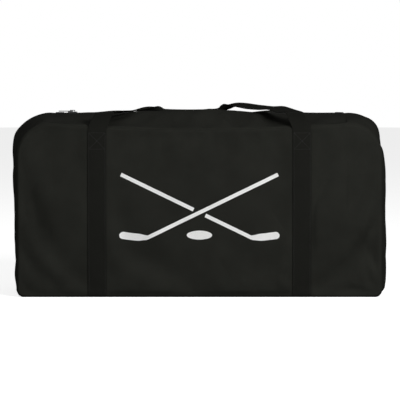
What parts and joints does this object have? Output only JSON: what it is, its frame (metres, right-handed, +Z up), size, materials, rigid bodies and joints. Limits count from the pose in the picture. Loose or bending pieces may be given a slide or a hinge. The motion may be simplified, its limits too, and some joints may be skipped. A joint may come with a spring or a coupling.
{
  "type": "hockey equipment bag",
  "caption": "Long soft carry bag for hockey kit: boxy fabric body with rounded top corners, top zipper, webbing straps that rise into loop handles, printed emblem, loose base board.",
  "frame": {"origin": "on the floor under the middle of the bag's body, where its two seam planes and two ends are centred", "axes": "+X along the bag to the right of someone facing its printed front, -Y out of the printed front, +Z up"},
  "size_m": [1.016, 0.4479, 0.5151],
  "materials": {
    "cloth": "matt coated woven polyester",
    "base_cloth": "matt coated woven polyester, heavier",
    "webbing": "ribbed woven webbing",
    "thread": "bonded thread",
    "binding": "ribbed tape",
    "zipper_tape": "herringbone woven tape",
    "zipper_coil": "satin",
    "zipper_metal": "dark satin enamel on die-cast zinc",
    "print_ink": "screen-printed ink with fine cracks",
    "board": "grained sheet"
  },
  "bodies": {
    "bag": {"front_panel": "cloth", "back_panel": "cloth", "bottom_panel": "base_cloth", "left_end_gusset": "cloth", "right_end_gusset": "cloth", "base_board": "board", "front_seam_binding": "binding", "back_seam_binding": "binding", "front_left_strap": "webbing", "front_right_strap": "webbing", "back_left_strap": "webbing", "back_right_strap": "webbing", "front_box_stitching": "thread", "back_box_stitching": "thread", "left_zipper_end": "zipper_coil", "right_zipper_end": "zipper_coil", "left_zipper_stop": "zipper_metal", "right_zipper_stop": "zipper_metal", "left_zipper_tab": "binding", "right_zipper_tab": "binding", "front_print": "print_ink"},
    "front_flap_body": {"front_flap": "cloth", "front_zipper_tape": "zipper_tape", "front_zipper_coil": "zipper_coil"},
    "back_flap_body": {"back_flap": "cloth", "back_zipper_tape": "zipper_tape", "back_zipper_coil": "zipper_coil"},
    "slider_body": {"zipper_slider": "zipper_metal"},
    "pull_body": {"slider_pull": "zipper_metal"},
    "front_handle_body": {"front_handle": "webbing"},
    "back_handle_body": {"back_handle": "webbing"}
  },
  "joints": [
    {"name": "front_handle_swing", "type": "hinge", "parent": "bag", "child": "front_handle_body", "pos_m": [0, -0.21075, 0.496], "axis": [1, 0, 0], "range_deg": [0, 240]},
    {"name": "back_handle_swing", "type": "hinge", "parent": "bag", "child": "back_handle_body", "pos_m": [0, 0.20991, 0.454], "axis": [1, 0, 0], "range_deg": [0, 180]},
    {"name": "slider_travel", "type": "slide", "parent": "bag", "child": "slider_body", "axis": [1, 0, 0], "range_m": [0, 0.694]},
    {"name": "pull_swing", "type": "hinge", "parent": "slider_body", "child": "pull_body", "pos_m": [-0.347, 0, 0.49155], "axis": [0, 1, 0], "range_deg": [0, 180]},
    {"name": "front_flap_fold", "type": "hinge", "parent": "bag", "child": "front_flap_body", "pos_m": [0, -0.1995, 0.46845], "axis": [-1, 0, 0], "range_deg": [0, 78]},
    {"name": "back_flap_fold", "type": "hinge", "parent": "bag", "child": "back_flap_body", "pos_m": [0, 0.1995, 0.46845], "axis": [1, 0, 0], "range_deg": [0, 78]}
  ]
}
